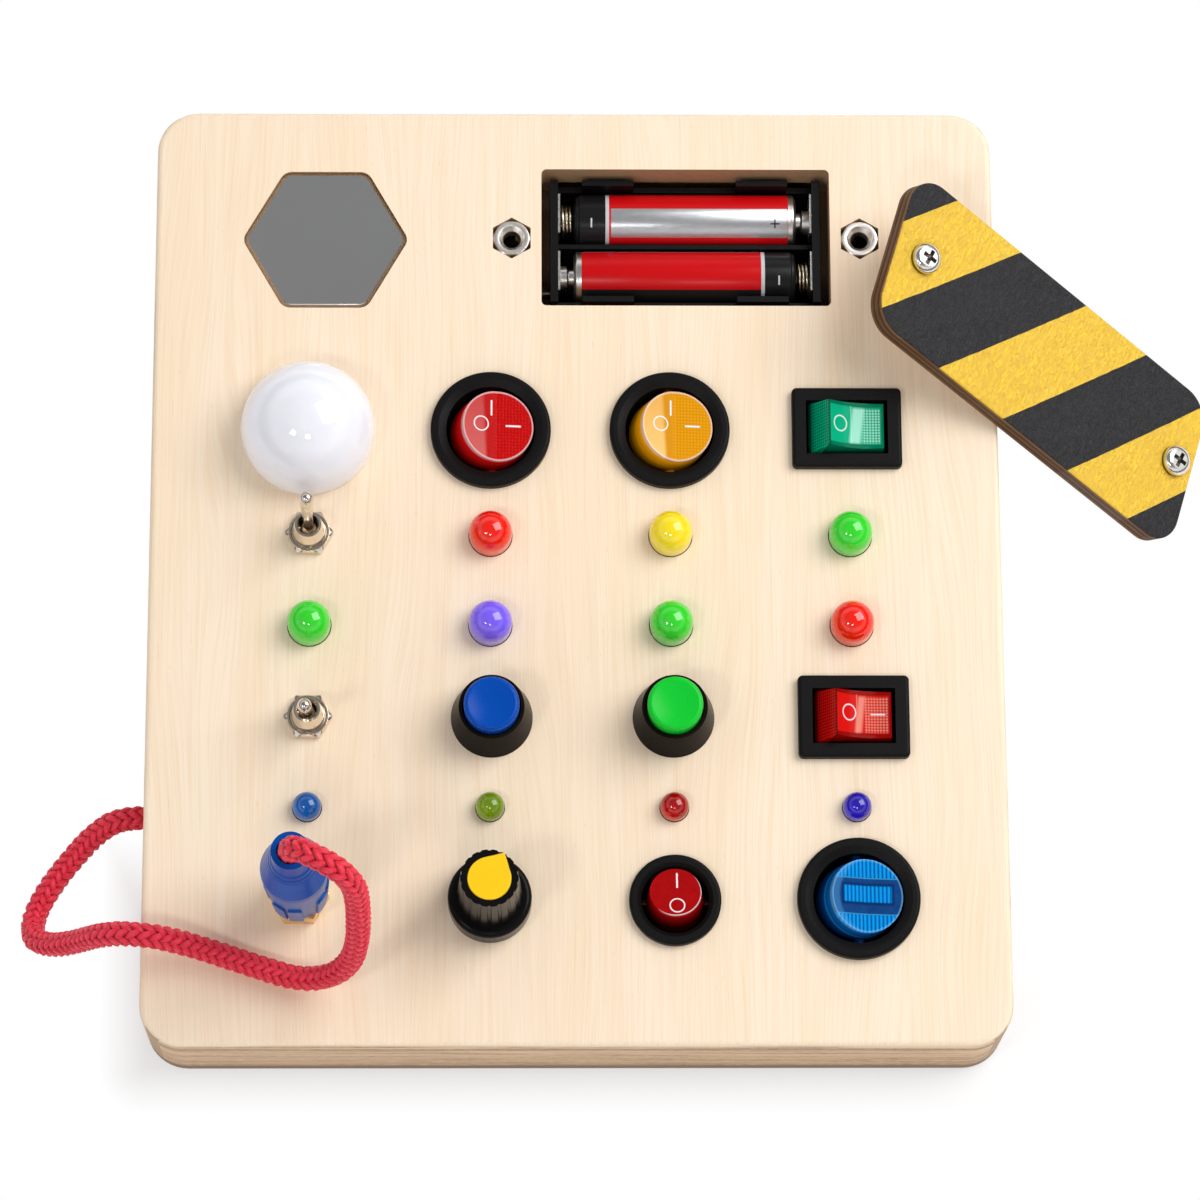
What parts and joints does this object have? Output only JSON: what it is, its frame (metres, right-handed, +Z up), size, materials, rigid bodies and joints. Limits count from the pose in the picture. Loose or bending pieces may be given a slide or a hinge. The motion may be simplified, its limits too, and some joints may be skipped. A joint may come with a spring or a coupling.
{
  "type": "busy board",
  "caption": "Wooden busy board with switches, push buttons, small lamps, a knob, a plug on a rope, a mirror and a battery bay with its loose striped cover.",
  "frame": {"origin": "centre of the board's underside, where the board lies on a table", "axes": "+Z up out of the board's face, +Y towards the far edge with the mirror and the battery bay, +X towards the loose cover"},
  "size_m": [0.2283, 0.1844, 0.0715],
  "materials": {
    "ply_face": "pale birch ply, fine straight grain, satin",
    "ply_back": "darker ply sheet",
    "screw_steel": "plain steel",
    "mirror": "bevelled mirror, finely scratched",
    "holder_black": "black moulded plastic",
    "contact_nickel": "nickel-plated strip and wire",
    "cell_label": "printed film in plain bands",
    "cell_metal": "bright can end",
    "insert_nickel": "nickel-plated",
    "cover_stripes": "ply, painted in yellow and black stripes",
    "cover_screw": "zinc-plated",
    "lamp_opal": "opal white, glossy",
    "lamp_base": "white",
    "led_clear": "water clear",
    "toggle_metal": "nickel-plated",
    "lever_metal": "polished nickel",
    "housing_black": "black, fine satin",
    "rocker_red": "red",
    "rocker_amber": "amber",
    "rocker_blue": "translucent blue, ribbed inside",
    "rocker_green": "translucent green",
    "square_red": "translucent red",
    "rocker_small_red": "red",
    "push_blue": "blue",
    "push_green": "green",
    "pot_metal": "plated can",
    "knob_black": "black, satin",
    "knob_yellow": "yellow",
    "led_red": "red-orange, diffused",
    "led_yellow": "yellow, diffused",
    "led_green": "green, diffused",
    "led_purple": "purple, diffused",
    "small_blue": "clear blue",
    "small_lime": "clear lime",
    "small_red": "clear red",
    "small_violet": "clear violet-blue",
    "tinned_wire": "tinned",
    "wire_black": "insulated",
    "socket_brass": "gold-coloured plating",
    "plug_blue": "soft blue plastic",
    "plug_metal": "plated pin",
    "rope_crimson": "crimson braid"
  },
  "bodies": {
    "board": {"carcass": "ply_face", "back_panel": "ply_back", "back_screws": "screw_steel", "mirror_hexagon": "mirror", "battery_holder": "holder_black", "battery_contacts": "contact_nickel", "battery_springs": "contact_nickel", "cover_inserts": "insert_nickel", "bulb_globe": "lamp_opal", "bulb_base": "lamp_base", "bulb_led": "led_clear", "toggle_cases": "toggle_metal", "toggle_nuts": "toggle_metal", "rocker_red_housing": "housing_black", "rocker_amber_housing": "housing_black", "rocker_blue_housing": "housing_black", "square_green_housing": "housing_black", "square_red_housing": "housing_black", "rocker_small_housing": "housing_black", "push_housings": "housing_black", "push_nuts": "housing_black", "push_blue_spring": "screw_steel", "push_green_spring": "screw_steel", "pot_body": "pot_metal", "pot_nut": "pot_metal", "leds_red": "led_red", "led_yellow": "led_yellow", "leds_green": "led_green", "led_purple": "led_purple", "led_small_blue": "small_blue", "led_small_lime": "small_lime", "led_small_red": "small_red", "led_small_violet": "small_violet", "led_leads": "tinned_wire", "bus_wires": "wire_black", "switch_terminals": "tinned_wire", "socket": "socket_brass", "socket_nut": "socket_brass", "rope": "rope_crimson", "rope_knot": "rope_crimson"},
    "cell_upper": {"battery_cell_upper": "cell_label"},
    "cell_lower": {"battery_cell_lower": "cell_label"},
    "cover": {"cover_plate": "cover_stripes"},
    "screw_upper": {"cover_screw_upper": "cover_screw"},
    "screw_lower": {"cover_screw_lower": "cover_screw"},
    "toggle_upper": {"toggle_upper_lever": "lever_metal"},
    "toggle_lower": {"toggle_lower_lever": "lever_metal"},
    "rocker_red": {"rocker_red_paddle": "rocker_red"},
    "rocker_amber": {"rocker_amber_paddle": "rocker_amber"},
    "rocker_blue": {"rocker_blue_paddle": "rocker_blue"},
    "square_green": {"square_green_paddle": "rocker_green"},
    "square_red": {"square_red_paddle": "square_red"},
    "rocker_small": {"rocker_small_paddle": "rocker_small_red"},
    "push_blue": {"push_blue_cap": "push_blue"},
    "push_green": {"push_green_cap": "push_green"},
    "knob": {"pot_shaft": "pot_metal", "knob_body": "knob_black", "knob_cap": "knob_yellow"},
    "plug": {"plug_sleeve": "plug_blue", "plug_pin": "plug_metal"}
  },
  "joints": [
    {"name": "toggle_upper_throw", "type": "hinge", "parent": "board", "child": "toggle_upper", "pos_m": [-0.0506, 0.0064, 0.0257], "axis": [1, 0, 0], "range_deg": [0, 17]},
    {"name": "toggle_lower_throw", "type": "hinge", "parent": "board", "child": "toggle_lower", "pos_m": [-0.0504, -0.0296, 0.0257], "axis": [1, 0, 0], "range_deg": [-17, 0]},
    {"name": "rocker_red_rock", "type": "hinge", "parent": "board", "child": "rocker_red", "pos_m": [-0.0162, 0.027, 0.02], "axis": [0, 1, 0], "range_deg": [-28, 0]},
    {"name": "rocker_amber_rock", "type": "hinge", "parent": "board", "child": "rocker_amber", "pos_m": [0.018, 0.027, 0.02], "axis": [0, 1, 0], "range_deg": [-28, 0]},
    {"name": "rocker_blue_rock", "type": "hinge", "parent": "board", "child": "rocker_blue", "pos_m": [0.0525, -0.0645, 0.02], "axis": [0, 1, 0], "range_deg": [-28, 0]},
    {"name": "square_green_rock", "type": "hinge", "parent": "board", "child": "square_green", "pos_m": [0.0519, 0.0274, 0.02], "axis": [0, 1, 0], "range_deg": [-32, 0]},
    {"name": "square_red_rock", "type": "hinge", "parent": "board", "child": "square_red", "pos_m": [0.0522, -0.0296, 0.02], "axis": [0, 1, 0], "range_deg": [-32, 0]},
    {"name": "rocker_small_rock", "type": "hinge", "parent": "board", "child": "rocker_small", "pos_m": [0.0183, -0.0648, 0.02], "axis": [1, 0, 0], "range_deg": [0, 28]},
    {"name": "push_blue_press", "type": "slide", "parent": "board", "child": "push_blue", "axis": [0, 0, -1], "range_m": [0, 0.002], "stiffness_N_per_m": 500, "springref_m": -0.002, "deforming": ["push_blue_spring"]},
    {"name": "push_green_press", "type": "slide", "parent": "board", "child": "push_green", "axis": [0, 0, -1], "range_m": [0, 0.002], "stiffness_N_per_m": 500, "springref_m": -0.002, "deforming": ["push_green_spring"]},
    {"name": "knob_turn", "type": "hinge", "parent": "board", "child": "knob", "pos_m": [-0.0162, -0.065, 0.022], "axis": [0, 0, 1], "range_deg": [-120, 180]},
    {"name": "plug_pull", "type": "slide", "parent": "board", "child": "plug", "axis": [0, 0, 1], "range_m": [0, 0.02], "deforming": ["rope"]},
    {"name": "cell_upper_lift", "type": "slide", "parent": "board", "child": "cell_upper", "axis": [0, 0, 1], "range_m": [0, 0.03]},
    {"name": "cell_lower_lift", "type": "slide", "parent": "board", "child": "cell_lower", "axis": [0, 0, 1], "range_m": [0, 0.03]},
    {"name": "cover_lift", "type": "slide", "parent": "board", "child": "cover", "axis": [0, 0, 1], "range_m": [0, 0.04]},
    {"name": "screw_upper_turn", "type": "hinge", "parent": "cover", "child": "screw_upper", "pos_m": [0.06619, 0.056, 0.03906], "axis": [0.4764, -0.1422, 0.8676], "continuous": true},
    {"name": "screw_lower_turn", "type": "hinge", "parent": "cover", "child": "screw_lower", "pos_m": [0.11698, 0.0262, 0.00628], "axis": [0.4764, -0.1422, 0.8676], "continuous": true}
  ]
}
